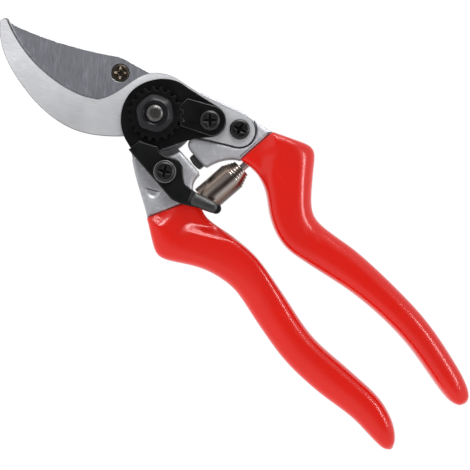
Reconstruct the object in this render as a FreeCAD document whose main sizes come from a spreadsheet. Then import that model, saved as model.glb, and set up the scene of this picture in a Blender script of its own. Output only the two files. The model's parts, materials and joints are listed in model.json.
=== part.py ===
"""Bypass pruning shears, modelled piece by piece in millimetres.

Frame: the origin is on the pivot axis, in the plane that the closed tool lies on.
+X points from the pivot towards the jaws, +Z is the nut side.
"""
import FreeCAD, Part
import math
import os
import Sketcher
from FreeCAD import Placement, Rotation, Vector

DIMS = {
    "casting_bottom": 3.4,
    "casting_top": 13.9,
    "blade_bottom": 8.0,
    "blade_thickness": 3.0,
    "hook_bottom": 11.1,
    "hook_thickness": 3.0,
    "hook_bevel": 0.5,
    "grind_width": 4.5,
    "edge_land": 0.4,
    "plate_bottom": 14.1,
    "plate_thickness": 1.2,
    "nut_bottom": 15.3,
    "nut_disc_thickness": 2.4,
    "nut_hub_height": 5.4,
    "nut_hub_flats": 12.8,
    "nut_tip_radius": 9.6,
    "nut_root_radius": 8.3,
    "segment_thickness": 2.2,
    "catch_bottom": 15.55,
    "catch_thickness": 2.3,
    "bolt_head_radius": 8.0,
    "bolt_head_height": 3.0,
    "washer_thickness": 0.35,
    "shank_radius": 5.0,
    "shank_flats": 8.0,
    "thread_radius": 3.1,
    "bush_outer_radius": 6.5,
    "running_clearance": 0.04,
    "hub_radius": 13.6,
    "blade_hub_radius": 12.4,
    "arch_radius": 14.6,
    "core_bottom": 5.2,
    "core_thickness": 6.0,
    "screw_head_radius": 3.6,
    "screw_head_height": 2.0,
    "screw_shank_radius": 2.0,
    "blade_screw_radius": 3.3,
    "spring_axis_height": 7.8,
    "spring_radius": 5.4,
    "spring_bore": 2.3,
    "left_stud_radius": 2.1,
    "right_stud_radius": 1.3,
    "catch_bush_radius": 2.9,
    "catch_bar_rise": 0.7,
    "plate_lip": 0.5,
    "nut_slope": 1.2,
    "cushion_bottom": 5.2,
    "cushion_height": 6.6,
    "catch_bore_depth": 6.5,
    "tang_bore_depth": 6.0,
    "stud_socket_depth": 4.0,
    "half_moon_depth": 0.5,
    "bolt_ring_depth": 0.3,
    "nut_recess_depth": 0.6,
    "grip_front_level": 20.0,
    "grip_front_depth": 25.0,
    "left_socket_level": -12.0,
    "right_socket_level": 14.0,
    "left_bore_level": -4.0,
    "left_bore_depth": 12.0,
    "right_bore_level": 8.0,
    "right_bore_depth": 10.0,
}
NUT_TEETH = 20
MESH_GAP = 0.12
SCREW_BORE = "Dims.screw_shank_radius + 0.05"

PIVOT = (0.0, 0.0)
BLADE_SCREW_AT = (19.8, -0.3)
TANG_SCREW_AT = (-23.1, -18.8)
SEGMENT_SCREW_AT = (-14.2, -12.8)
CATCH_PIVOT_AT = (-17.3, 10.7)

# Shared outline stretches of the two handle halves, in plan.
NECK_OUTER = [
    ("line", (-3.2, 15.0)),
    ("curve", (-7.0, 17.1), (-15.0, 21.2), (-25.2, 26.0)),
]
NECK_INNER = [
    ("curve", (-27.6, 7.2), (-25.6, 2.3)),
    ("line", (-24.6, 1.75), (-14.9, 1.75)),
    ("line", (-13.47, 1.89)),
]
GRIP_FRONT_LEFT = [(-31.5, 8.4)]
LEFT_CORE = [
    (-26.0, 22.0),
    ("line", (-34.0, 26.0), (-44.0, 21.5), (-57.0, 16.5), (-75.0, 16.6), (-95.0, 18.6),
     (-118.0, 15.6)),
    ("arc", (-120.2, 13.0), (-118.0, 10.9)),
    ("line", (-95.0, 13.4), (-75.0, 11.3), (-60.0, 10.4), (-45.0, 13.0), (-34.0, 13.4),
     (-27.5, 13.0)),
]
RIGHT_CORE = [
    (-30.5, -16.0),
    ("line", (-46.0, -16.6), (-56.0, -11.0), (-65.0, -8.8), (-75.0, -10.4), (-95.0, -15.0),
     (-121.0, -17.0)),
    ("arc", (-123.3, -19.4), (-121.0, -21.4)),
    ("line", (-95.0, -20.0), (-72.0, -15.4), (-61.0, -14.2), (-46.0, -28.0), (-30.5, -24.0)),
]

SPRING_AT = -33.6
SPRING_LEFT_END = 7.0
SPRING_RIGHT_END = -11.0

# Grip edges: outer and inner edge in plan (x, y), top and bottom in side view (x, z).
SECTION_POINTS = 20
SECTION_SPACING = 3.0
LEFT_GRIP = (
    [(-22, 24.8), (-28, 27.8), (-34, 31.0), (-37.5, 32.1), (-40.5, 30.9), (-50, 24.0), (-57, 20.9),
     (-65, 19.5), (-80, 21.3), (-95, 22.5), (-110, 21.1), (-126, 17.8), (-137, 17.2), (-141.5, 16.6),
     (-143.4, 15.2)],
    [(-22, 5.5), (-28, 7.4), (-34, 9.2), (-38, 10.3), (-43, 9.5), (-50, 7.6), (-61, 6.1), (-76, 7.5),
     (-95, 9.6), (-113, 7.5), (-127, 6.1), (-136, 7.9), (-141.5, 11.2), (-143.4, 13.8)],
    [(-22, 14.5), (-34, 14.7), (-44, 15.1), (-56, 15.35), (-95, 15.35), (-128, 15.25), (-137, 14.4),
     (-141.5, 12.2), (-143.4, 9.2)],
    [(-22, 2.8), (-34, 2.4), (-44, 1.1), (-56, 0.16), (-95, 0.16), (-128, 0.16), (-137, 0.9),
     (-141.5, 3.0), (-143.4, 6.2)],
)
LEFT_FRONT = [(-34.2, 0.9), ("line", (-22.5, 33.5), (0.0, 33.5), (0.0, 0.9))]
RIGHT_GRIP = (
    [(-28, -25.6), (-31.3, -27.2), (-38, -31.0), (-43.5, -34.0), (-46, -33.9), (-52, -28.0),
     (-58, -22.0), (-62, -19.2), (-67, -18.6), (-84, -22.2), (-106, -24.3), (-120, -24.3),
     (-137, -22.0), (-144, -20.2), (-147.3, -18.4), (-148.4, -17.0)],
    [(-28, -10.2), (-31.3, -12.0), (-35, -13.1), (-40, -13.3), (-46, -11.3), (-52, -7.5),
     (-59, -4.7), (-66, -4.1), (-74, -6.0), (-92, -11.1), (-106, -13.4), (-120, -14.0),
     (-138, -12.3), (-144, -12.2), (-147.3, -13.5), (-148.4, -15.2)],
    [(-28, 14.5), (-36, 14.7), (-47, 15.1), (-58, 15.35), (-100, 15.35), (-133, 15.25), (-142, 14.4),
     (-147, 12.0), (-148.4, 9.2)],
    [(-28, 2.8), (-36, 2.4), (-47, 1.1), (-58, 0.16), (-100, 0.16), (-133, 0.16), (-142, 0.9),
     (-147, 3.2), (-148.4, 6.2)],
)
RIGHT_FRONT = [(-31.3, -40.0), ("line", (0.0, -40.0), (0.0, 0.0), (-31.3, 0.0))]

doc = FreeCAD.newDocument("PruningShears")
sheet = doc.addObject("Spreadsheet::Sheet", "Dims")
for row, (alias, value) in enumerate(DIMS.items(), start=1):
    sheet.set(f"A{row}", alias)
    sheet.set(f"B{row}", str(value))
    sheet.setAlias(f"B{row}", alias)
doc.recompute()


# ---------------------------------------------------------------- modelling helpers
def new_body(label):
    """An empty PartDesign body; its label names its file."""
    body = doc.addObject("PartDesign::Body", label)
    body.Label = label
    return body


def sketch_on(body, name, level="0", role="XY_Plane"):
    """A sketch on one of the body's origin planes, lifted along its normal to a level."""
    plane = next(f for f in body.Origin.OriginFeatures if f.Role == role)
    sketch = body.newObject("Sketcher::SketchObject", name)
    sketch.AttachmentSupport = [(plane, "")]
    sketch.MapMode = "FlatFace"
    sketch.setExpression("AttachmentOffset.Base.z", level)
    return sketch


def draw(sketch, start, *steps):
    """Close an outline from start; a step is ("line"|"arc"|"curve", point, ...)."""
    here = Vector(*start)
    for kind, *points in steps:
        there = [Vector(*point) for point in points]
        if kind == "line":
            for point in there:
                sketch.addGeometry(Part.LineSegment(here, point))
                here = point
        elif kind == "arc":
            sketch.addGeometry(Part.Arc(here, *there))
        else:
            curve = Part.BSplineCurve()
            curve.interpolate([here] + there)
            sketch.addGeometry(curve)
        here = there[-1]
    if here.distanceToPoint(Vector(*start)) > 1e-6:
        sketch.addGeometry(Part.LineSegment(here, Vector(*start)))


def draw_circle(sketch, radius, at=PIVOT):
    """A circle whose radius is bound to an expression of the sheet."""
    index = sketch.addGeometry(Part.Circle(Vector(*at), Vector(0, 0, 1), 1.0))
    name = f"radius_{index}"
    constraint = sketch.addConstraint(Sketcher.Constraint("Radius", index, 1.0))
    sketch.renameConstraint(constraint, name)
    sketch.setExpression(f"Constraints.{name}", radius)


def pad(body, sketch, length):
    """Raise a sketch by a length."""
    feature = body.newObject("PartDesign::Pad", f"{sketch.Name}Pad")
    feature.Profile = sketch
    feature.setExpression("Length", length)
    doc.recompute()
    return feature


def pocket(body, sketch, depth, upward=False):
    """Cut a sketch into the body, downwards unless told otherwise, and check that it cut."""
    before = body.Shape.Volume
    feature = body.newObject("PartDesign::Pocket", f"{sketch.Name}Pocket")
    feature.Profile = sketch
    feature.Reversed = upward
    feature.setExpression("Length", depth)
    doc.recompute()
    if body.Shape.Volume > before - 1e-3:
        raise RuntimeError(f"{feature.Name} cuts nothing from {body.Label}")
    return feature


def revolve(body, sketch):
    """Turn a profile drawn in the XZ plane once about the body's own Z axis."""
    feature = body.newObject("PartDesign::Revolution", f"{sketch.Name}Turn")
    feature.Profile = sketch
    feature.ReferenceAxis = (sketch, ["V_Axis"])
    feature.Angle = 360
    doc.recompute()
    return feature


def loft(body, sketches):
    """Join outlines that have the same number of edges by straight walls."""
    feature = body.newObject("PartDesign::AdditiveLoft", f"{sketches[0].Name}Loft")
    feature.Profile = sketches[0]
    feature.Sections = sketches[1:]
    feature.Ruled = True
    doc.recompute()
    return feature


def value(alias):
    """A driving dimension, read back from the sheet."""
    return float(sheet.get(alias))


def polar(radius, degrees, centre=PIVOT):
    """The point at a radius and an angle from a centre."""
    turn = math.radians(degrees)
    return centre[0] + radius * math.cos(turn), centre[1] + radius * math.sin(turn)


def along(points, x):
    """Height of the smooth curve through points, ordered by x, at one x."""
    points = sorted(points)
    slopes = []
    for i, (px, py) in enumerate(points):
        ax, ay = points[max(i - 1, 0)]
        bx, by = points[min(i + 1, len(points) - 1)]
        slopes.append((by - ay) / (bx - ax))
    i = max(k for k, (px, py) in enumerate(points[:-1]) if px <= x or k == 0)
    (ax, ay), (bx, by) = points[i], points[i + 1]
    span = bx - ax
    t = (x - ax) / span
    return (
        (2 * t**3 - 3 * t**2 + 1) * ay
        + (t**3 - 2 * t**2 + t) * span * slopes[i]
        + (3 * t**2 - 2 * t**3) * by
        + (t**3 - t**2) * span * slopes[i + 1]
    )


# ---------------------------------------------------------------- blades
def hub_arc(radius, start, middle, end):
    """The three points of an arc about the pivot, by angle."""
    return polar(radius, start), ("arc", polar(radius, middle), polar(radius, end))


def draw_keyed_hole(sketch):
    """A round hole with two flats that keeps the bolt from turning."""
    radius = value("shank_radius")
    half = value("shank_flats") / 2
    reach = math.sqrt(radius**2 - half**2)
    draw(
        sketch,
        (half, -reach),
        ("line", (half, reach)),
        ("arc", (0, radius), (-half, reach)),
        ("line", (-half, -reach)),
        ("arc", (0, -radius), (half, -reach)),
    )


def draw_hook_outline(sketch, bevel=0.0):
    """Plan of the hook blade: crescent jaw, hub and tang; bevel moves the inner edge in."""
    hub = value("blade_hub_radius")
    start, upper_hub = hub_arc(hub, 195.4, 145, 97)
    inner_edge = [(51, 19.1), (39.7, 19.5), (30.6, 17.9), (22.9, 15), (17.5, 11.2)]
    draw(
        sketch,
        start,
        upper_hub,
        ("line", (1.8, 13.3)),
        ("curve", (7.5, 19.5), (15, 25), (27, 28.5), (41, 28.3), (52, 25.6), (60, 20.3)),
        ("arc", (60.7, 18.7), (59.5, 17 + bevel)),
        ("curve", *[(x, y + bevel) for x, y in inner_edge]),
        ("curve", (15.6, 7.1), (14.6, 0.4), (13.6, -5.5), (11.9, -8.7)),
        ("arc", (8.3, -12.1), (2.9, -14.4)),
        ("line", (-5.2, -16.7), (-20.9, -23.5)),
        ("arc", (-28.4, -20.9), (-25.9, -13.2)),
    )


def make_hook_blade():
    """Counter blade: a thick crescent with a bevelled inner edge, screwed down by its tang."""
    body = new_body("hook_blade")
    outline = sketch_on(body, "HookOutline", "Dims.hook_bottom")
    draw_hook_outline(outline)
    pad(body, outline, "Dims.hook_thickness - Dims.hook_bevel")
    shoulder = sketch_on(body, "HookShoulder", "Dims.plate_bottom - Dims.hook_bevel")
    draw_hook_outline(shoulder)
    face = sketch_on(body, "HookFace", "Dims.plate_bottom")
    draw_hook_outline(face, value("hook_bevel"))
    loft(body, [shoulder, face])
    holes = sketch_on(body, "HookHoles", "Dims.plate_bottom")
    draw_keyed_hole(holes)
    for at in (TANG_SCREW_AT, SEGMENT_SCREW_AT):
        draw_circle(holes, SCREW_BORE, at)
    pocket(body, holes, "Dims.hook_thickness")
    return body


def draw_blade_outline(sketch, grind=0.0):
    """Plan of the cutting blade; grind draws the convex edge back, most at mid-length."""
    hub = value("blade_hub_radius")
    start, hub_side = hub_arc(hub, 48, 180, 318)
    edge = [(59, 17.4), (50, 21.5), (40, 23), (30, 21.7), (20, 18.5), (14, 13.5)]
    drawn = [(x, y - grind * math.sin(math.pi * i / 5)) for i, (x, y) in enumerate(edge)]
    draw(
        sketch,
        start,
        hub_side,
        ("line", (11.9, -8.7)),
        ("curve", (15.5, -7.1), (19.4, -5.7), (24.2, -3.8)),
        ("curve", (32.1, 2.3), (43.9, 10.1), (56.4, 16.6)),
        ("line", drawn[0]),
        ("curve", *drawn[1:]),
    )


def make_cutting_blade():
    """Cutting blade: convex edge with a long ground bevel on the underside."""
    body = new_body("cutting_blade")
    ground = sketch_on(body, "BladeGround", "Dims.blade_bottom")
    draw_blade_outline(ground, value("grind_width"))
    edge = sketch_on(body, "BladeEdge", "Dims.blade_bottom + Dims.blade_thickness - Dims.edge_land")
    draw_blade_outline(edge)
    loft(body, [ground, edge])
    face = sketch_on(body, "BladeFace", "Dims.blade_bottom + Dims.blade_thickness - Dims.edge_land")
    draw_blade_outline(face)
    pad(body, face, "Dims.edge_land")
    holes = sketch_on(body, "BladeHoles", "Dims.blade_bottom + Dims.blade_thickness")
    draw_circle(holes, "Dims.bush_outer_radius")
    draw_circle(holes, "Dims.blade_screw_radius", BLADE_SCREW_AT)
    pocket(body, holes, "Dims.blade_thickness")
    return body


# ---------------------------------------------------------------- castings
def make_blade_handle_casting():
    """Cast handle half under the cutting blade: hub, lug, raised neck and hidden core."""
    body = new_body("blade_handle_casting")
    hub = value("hub_radius")
    start, hub_side = hub_arc(hub, 172, 270, 325)
    base = sketch_on(body, "NeckBase", "Dims.casting_bottom")
    draw(
        base,
        start,
        hub_side,
        ("curve", (15.4, -5.6), (19.8, -4.9)),
        ("arc", (24.4, -0.3), (19.8, 4.3)),
        ("curve", (14.5, 6.5), (10.9, 10.2)),
        ("arc", polar(hub, 70), polar(hub, 98)),
        *NECK_OUTER,
        ("line", *GRIP_FRONT_LEFT),
        *NECK_INNER,
    )
    pad(body, base, "Dims.blade_bottom - Dims.casting_bottom")
    raised = sketch_on(body, "NeckRaised", "Dims.blade_bottom")
    draw(
        raised,
        (-14.9, 1.75),
        ("arc", polar(15.0, 148), (-6.2, 13.7)),
        ("line", (-6.2, 16.6)),
        *NECK_OUTER[1:],
        ("line", *GRIP_FRONT_LEFT),
        *NECK_INNER[:-1],
    )
    pad(body, raised, "Dims.casting_top - Dims.blade_bottom")
    core = sketch_on(body, "BladeHandleCore", "Dims.core_bottom")
    draw(core, *LEFT_CORE)
    pad(body, core, "Dims.core_thickness")
    bores = sketch_on(body, "BladeHandleBores", "Dims.blade_bottom")
    draw_circle(bores, "Dims.bush_outer_radius")
    draw_circle(bores, SCREW_BORE, BLADE_SCREW_AT)
    pocket(body, bores, "Dims.blade_bottom - Dims.casting_bottom")
    catch_bore = sketch_on(body, "CatchBore", "Dims.casting_top")
    draw_circle(catch_bore, SCREW_BORE, CATCH_PIVOT_AT)
    pocket(body, catch_bore, "Dims.catch_bore_depth")
    stud = sketch_on(body, "LeftStudSocket", "Dims.left_socket_level", "XZ_Plane")
    draw_circle(stud, "Dims.left_stud_radius", (SPRING_AT, value("spring_axis_height")))
    pocket(body, stud, "Dims.stud_socket_depth")
    moon = sketch_on(body, "HalfMoon", "Dims.casting_top")
    draw(moon, (-21.4, 16.7), ("line", (-16.9, 21.0)), ("arc", (-20.9, 21.6), (-21.4, 16.7)))
    pocket(body, moon, "Dims.half_moon_depth")
    return body


def make_hook_handle_casting():
    """Cast handle half that arches round the hub and carries the hook blade's tang."""
    body = new_body("hook_handle_casting")
    arch = value("arch_radius")
    base = sketch_on(body, "ArchBase", "Dims.casting_bottom")
    draw(
        base,
        polar(arch, 190.5),
        ("arc", polar(arch, 225), polar(arch, 262)),
        ("line", (-4.6, -17.4), (-19.8, -23.9)),
        ("curve", (-24.5, -24.9), (-31.3, -27.0)),
        ("line", (-31.3, -12.0)),
        ("curve", (-28.6, -9.6), (-26.6, -6.2), (-25.3, -1.5)),
        ("line", (-24.2, -0.9), (-17.0, -0.9)),
        ("curve", (-15.4, -1.4), polar(arch, 190.5)),
    )
    pad(body, base, "Dims.casting_top - Dims.casting_bottom")
    core = sketch_on(body, "HookHandleCore", "Dims.core_bottom")
    draw(core, *RIGHT_CORE)
    pad(body, core, "Dims.core_thickness")
    seat = sketch_on(body, "TangSeat", "Dims.casting_top")
    draw(
        seat,
        (-2.0, 0.0),
        ("line", (-11.9, -2.6), (-26.3, -12.9)),
        ("arc", (-29.0, -20.9), (-21.2, -24.5)),
        ("line", (0.0, -15.5)),
    )
    pocket(body, seat, "Dims.casting_top - Dims.hook_bottom")
    bore = sketch_on(body, "TangBore", "Dims.hook_bottom")
    for at in (TANG_SCREW_AT, SEGMENT_SCREW_AT):
        draw_circle(bore, SCREW_BORE, at)
    pocket(body, bore, "Dims.tang_bore_depth")
    stud = sketch_on(body, "RightStudSocket", "Dims.right_socket_level", "XZ_Plane")
    draw_circle(stud, "Dims.right_stud_radius", (SPRING_AT, value("spring_axis_height")))
    pocket(body, stud, "Dims.stud_socket_depth", upward=True)
    slot = sketch_on(body, "CushionSlot", "Dims.cushion_bottom")
    draw(slot, (-24.2, -2.4), ("line", (-18.8, -2.4), (-18.8, 0.5), (-24.2, 0.5)))
    pocket(body, slot, "Dims.cushion_height", upward=True)
    return body


# ---------------------------------------------------------------- grips
def squareness(x):
    """Exponent of the grip's section: boxy over the casting head, rounder along the hand."""
    return 4.5 - 1.9 * min(max((-x - 30) / 25, 0), 1)


def grip_section(body, edges, x):
    """One cross-section of a grip, a rounded rectangle between its four edge curves."""
    outer, inner, top, bottom = (along(points, x) for points in edges)
    power = 2 / squareness(x)
    points = []
    for step in range(SECTION_POINTS):
        turn = 2 * math.pi * (step + 0.5) / SECTION_POINTS
        across = math.copysign(abs(math.cos(turn)) ** power, math.cos(turn))
        upward = math.copysign(abs(math.sin(turn)) ** power, math.sin(turn))
        points.append(Vector(
            (outer + inner) / 2 + across * abs(outer - inner) / 2,
            (top + bottom) / 2 + upward * (top - bottom) / 2,
        ))
    curve = Part.BSplineCurve()
    curve.interpolate(points, PeriodicFlag=True)
    sketch = sketch_on(body, f"{body.Name}Section", str(x), "YZ_Plane")
    sketch.addGeometry(curve)
    return sketch


def grip_stations(edges):
    """Places of the sections: evenly along the grip, closer together at its rounded end."""
    first, last = edges[0][0][0], edges[0][-1][0]
    rounded = last + 9
    count = round((first - rounded) / SECTION_SPACING)
    even = [first + (rounded - first) * i / count for i in range(count)]
    closing = [last + 9 * (1 - math.sin(math.pi / 2 * i / 6)) for i in range(7)]
    return even + closing


def make_grip(label, edges, front, core):
    """Dipped grip: a smooth skin lofted along the handle, hollow where the core runs."""
    body = new_body(label)
    sections = [grip_section(body, edges, x) for x in grip_stations(edges)]
    skin = body.newObject("PartDesign::AdditiveLoft", f"{label}Skin")
    skin.Profile = sections[0]
    skin.Sections = sections[1:]
    doc.recompute()
    face = sketch_on(body, f"{label}Front", "Dims.grip_front_level")
    draw(face, *front)
    pocket(body, face, "Dims.grip_front_depth")
    hollow = sketch_on(body, f"{label}Hollow", "Dims.core_bottom")
    draw(hollow, *core)
    pocket(body, hollow, "Dims.core_thickness", upward=True)
    return body


def make_blade_handle_grip():
    """Grip of the cutting-blade handle, with the bore of the spring stud."""
    body = make_grip("blade_handle_grip", LEFT_GRIP, LEFT_FRONT, LEFT_CORE)
    bore = sketch_on(body, "LeftStudBore", "Dims.left_bore_level", "XZ_Plane")
    draw_circle(bore, "Dims.left_stud_radius", (SPRING_AT, value("spring_axis_height")))
    pocket(body, bore, "Dims.left_bore_depth")
    return body


def make_hook_handle_grip():
    """Grip of the hook-blade handle, with the bore of the spring stud."""
    body = make_grip("hook_handle_grip", RIGHT_GRIP, RIGHT_FRONT, RIGHT_CORE)
    bore = sketch_on(body, "RightStudBore", "Dims.right_bore_level", "XZ_Plane")
    draw_circle(bore, "Dims.right_stud_radius", (SPRING_AT, value("spring_axis_height")))
    pocket(body, bore, "Dims.right_bore_depth", upward=True)
    return body


# ---------------------------------------------------------------- pivot
def make_pivot_bolt():
    """Pivot bolt: low round head, round shank, flats for the hook blade, threaded end."""
    body = new_body("pivot_bolt")
    head = value("bolt_head_radius")
    high = value("bolt_head_height")
    shank = value("shank_radius")
    thread = value("thread_radius")
    shoulder = value("nut_bottom") - 0.05
    end = value("nut_bottom") + value("nut_hub_height")
    profile = sketch_on(body, "BoltProfile", role="XZ_Plane")
    draw(
        profile,
        (0, 0),
        ("line", (head - 1.0, 0), (head, 0.7), (head, high - 0.6), (head - 0.6, high)),
        ("line", (shank, high)),
        ("line", (shank, shoulder), (thread, shoulder), (thread, end - 0.3)),
        ("arc", (thread * 0.8, end + 0.35), (thread * 0.4, end + 0.65)),
        ("line", (0, end + 0.65)),
    )
    revolve(body, profile)
    flats = sketch_on(body, "BoltFlats", "Dims.nut_bottom")
    half = value("shank_flats") / 2
    for side in (-1, 1):
        draw(flats, (side * half, -6), ("line", (side * half, 6), (side * 6, 6), (side * 6, -6)))
    pocket(body, flats, "Dims.nut_bottom - Dims.hook_bottom")
    ring = sketch_on(body, "BoltRing")
    draw_circle(ring, "Dims.bolt_head_radius - 2.6")
    draw_circle(ring, "Dims.bolt_head_radius - 3.2")
    pocket(body, ring, "Dims.bolt_ring_depth", upward=True)
    return body


def make_ring(label, level, thickness, outer, inner):
    """A plain ring about the pivot."""
    body = new_body(label)
    sketch = sketch_on(body, f"{label}Plan", level)
    draw_circle(sketch, outer)
    draw_circle(sketch, inner)
    pad(body, sketch, thickness)
    return body


def draw_rounded_hexagon(sketch, across_flats, corner_radius):
    """A hexagon whose corners are cut round by a circle."""
    half = across_flats / 2
    reach = math.degrees(math.acos(half / corner_radius))
    steps = []
    for corner in range(30, 390, 60):
        steps.append(("line", polar(corner_radius, corner - 30 + reach)))
        arc_end = polar(corner_radius, corner + 30 - reach)
        steps.append(("arc", polar(corner_radius, corner), arc_end))
    draw(sketch, polar(corner_radius, -reach), *steps)


def draw_teeth(sketch, tip, root):
    """The toothed rim of the nut: flat-topped teeth all round."""
    pitch = 360 / NUT_TEETH
    points = []
    for tooth in range(NUT_TEETH):
        for share, radius in ((-0.32, root), (-0.14, tip), (0.14, tip), (0.32, root)):
            points.append(polar(radius, (tooth + share) * pitch))
    draw(sketch, points[0], ("line", *points[1:]))


def make_toothed_nut():
    """Adjusting nut: toothed disc with a raised six-sided hub and a recessed bore."""
    body = new_body("toothed_nut")
    disc = sketch_on(body, "NutDisc", "Dims.nut_bottom")
    draw_teeth(disc, value("nut_tip_radius"), value("nut_root_radius"))
    pad(body, disc, "Dims.nut_disc_thickness")
    flats = value("nut_hub_flats")
    hub = sketch_on(body, "NutHub", "Dims.nut_bottom + Dims.nut_disc_thickness")
    draw_rounded_hexagon(hub, flats, flats * 0.54)
    pad(body, hub, "Dims.nut_hub_height - Dims.nut_disc_thickness - Dims.nut_slope")
    low = sketch_on(body, "NutSlope", "Dims.nut_bottom + Dims.nut_hub_height - Dims.nut_slope")
    draw_rounded_hexagon(low, flats, flats * 0.54)
    high = sketch_on(body, "NutTop", "Dims.nut_bottom + Dims.nut_hub_height")
    draw_rounded_hexagon(high, flats * 0.8, flats * 0.42)
    loft(body, [low, high])
    bore = sketch_on(body, "NutBore", "Dims.nut_bottom + Dims.nut_hub_height")
    draw_circle(bore, "Dims.thread_radius + Dims.running_clearance")
    pocket(body, bore, "Dims.nut_hub_height")
    recess = sketch_on(body, "NutRecess", "Dims.nut_bottom + Dims.nut_hub_height")
    draw_circle(recess, "Dims.thread_radius + 1.2")
    pocket(body, recess, "Dims.nut_recess_depth")
    return body


def make_toothed_segment():
    """Locking segment: a tongue whose inner end meshes with the nut's teeth."""
    body = new_body("toothed_segment")
    plan = sketch_on(body, "SegmentPlan", "Dims.nut_bottom")
    draw(
        plan,
        (-3.4, -8.0),
        ("line", (-3.2, -12.0), (-11.9, -17.7)),
        ("arc", (-18.8, -15.8), (-18.4, -9.5)),
        ("line", (-8.8, -3.8)),
    )
    pad(body, plan, "Dims.segment_thickness")
    teeth = sketch_on(body, "SegmentTeeth", "Dims.nut_bottom + Dims.segment_thickness")
    draw_teeth(teeth, value("nut_tip_radius") + MESH_GAP, value("nut_root_radius") + MESH_GAP)
    pocket(body, teeth, "Dims.segment_thickness")
    bore = sketch_on(body, "SegmentBore", "Dims.nut_bottom + Dims.segment_thickness")
    draw_circle(bore, SCREW_BORE, SEGMENT_SCREW_AT)
    pocket(body, bore, "Dims.segment_thickness")
    return body


def make_lock_plate():
    """Black cover plate that the nut and the segment sit on."""
    body = new_body("lock_plate")
    plan = sketch_on(body, "PlatePlan", "Dims.plate_bottom")
    draw(
        plan,
        (-3.0, 14.3),
        ("line", (0.0, 13.8)),
        ("curve", (5.0, 11.7), (9.0, 8.0), (11.8, 0.0), (10.2, -6.5), (6.5, -11.5), (0.0, -14.5)),
        ("line", (-12.5, -18.3)),
        ("arc", (-19.0, -15.6), (-18.2, -9.0)),
        ("line", (-15.5, -5.3)),
        ("curve", (-13.0, 0.0), (-10.0, 7.4)),
        ("curve", (-6.6, 9.4), (-4.6, 10.6), (-3.4, 12.2)),
    )
    pad(body, plan, "Dims.plate_thickness")
    lip = sketch_on(body, "PlateLip", "Dims.nut_bottom")
    draw(lip, (-12.3, 1.6), ("line", (-11.6, 1.4), (-10.2, 4.9), (-10.8, 5.3)))
    pad(body, lip, "Dims.plate_lip")
    holes = sketch_on(body, "PlateHoles", "Dims.nut_bottom")
    draw_keyed_hole(holes)
    draw_circle(holes, SCREW_BORE, SEGMENT_SCREW_AT)
    pocket(body, holes, "Dims.plate_thickness")
    return body


# ---------------------------------------------------------------- screws and small parts
def draw_cross(sketch, reach, half_width):
    """The cross of a Phillips recess."""
    w, r = half_width, reach
    corners = [(r, -w), (r, w), (w, w), (w, r), (-w, r), (-w, w),
               (-r, w), (-r, -w), (-w, -w), (-w, -r), (w, -r), (w, -w)]
    draw(sketch, corners[0], ("line", *corners[1:]))


def make_screw(label, at, seat, depth, head_radius, head_height, recess_turn):
    """A pan-head screw with a cross recess, standing on its seat at a point of the plan."""
    body = new_body(label)
    shank = value("screw_shank_radius")
    profile = sketch_on(body, f"{label}Profile", role="XZ_Plane")
    draw(
        profile,
        (0, -depth),
        ("line", (shank - 0.5, -depth), (shank, 0.7 - depth), (shank, 0), (head_radius, 0)),
        ("line", (head_radius, head_height * 0.55)),
        ("arc", (head_radius * 0.86, head_height * 0.88), (head_radius * 0.62, head_height)),
        ("line", (0, head_height)),
    )
    revolve(body, profile)
    cross = sketch_on(body, f"{label}Recess", str(head_height))
    draw_cross(cross, head_radius * 0.54, 0.42)
    pocket(body, cross, str(head_height * 0.7))
    body.Placement = Placement(Vector(*at, seat), Rotation(Vector(0, 0, 1), recess_turn))
    return body


def make_catch_bush():
    """Shouldered sleeve that carries the catch above the casting."""
    body = new_body("catch_bush")
    seat = sketch_on(body, "CatchBushSeat", "Dims.casting_top")
    draw_circle(seat, "Dims.catch_bush_radius + 1.5", CATCH_PIVOT_AT)
    pad(body, seat, "Dims.catch_bottom - Dims.casting_top - Dims.running_clearance")
    sleeve = sketch_on(body, "CatchBushSleeve", "Dims.catch_bottom - Dims.running_clearance")
    draw_circle(sleeve, "Dims.catch_bush_radius", CATCH_PIVOT_AT)
    pad(body, sleeve, "Dims.catch_thickness + 2 * Dims.running_clearance")
    bore = sketch_on(body, "CatchBushBore", "Dims.casting_top")
    draw_circle(bore, SCREW_BORE, CATCH_PIVOT_AT)
    pocket(body, bore, "Dims.catch_thickness + 3", upward=True)
    return body


def make_catch_washer():
    """Spring washer between the catch and the head of its screw."""
    body = new_body("catch_washer")
    top = "Dims.catch_bottom + Dims.catch_thickness + Dims.running_clearance"
    plan = sketch_on(body, "CatchWasherPlan", top)
    draw_circle(plan, "Dims.catch_bush_radius + 1.0", CATCH_PIVOT_AT)
    draw_circle(plan, SCREW_BORE, CATCH_PIVOT_AT)
    pad(body, plan, "Dims.washer_thickness")
    return body


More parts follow.
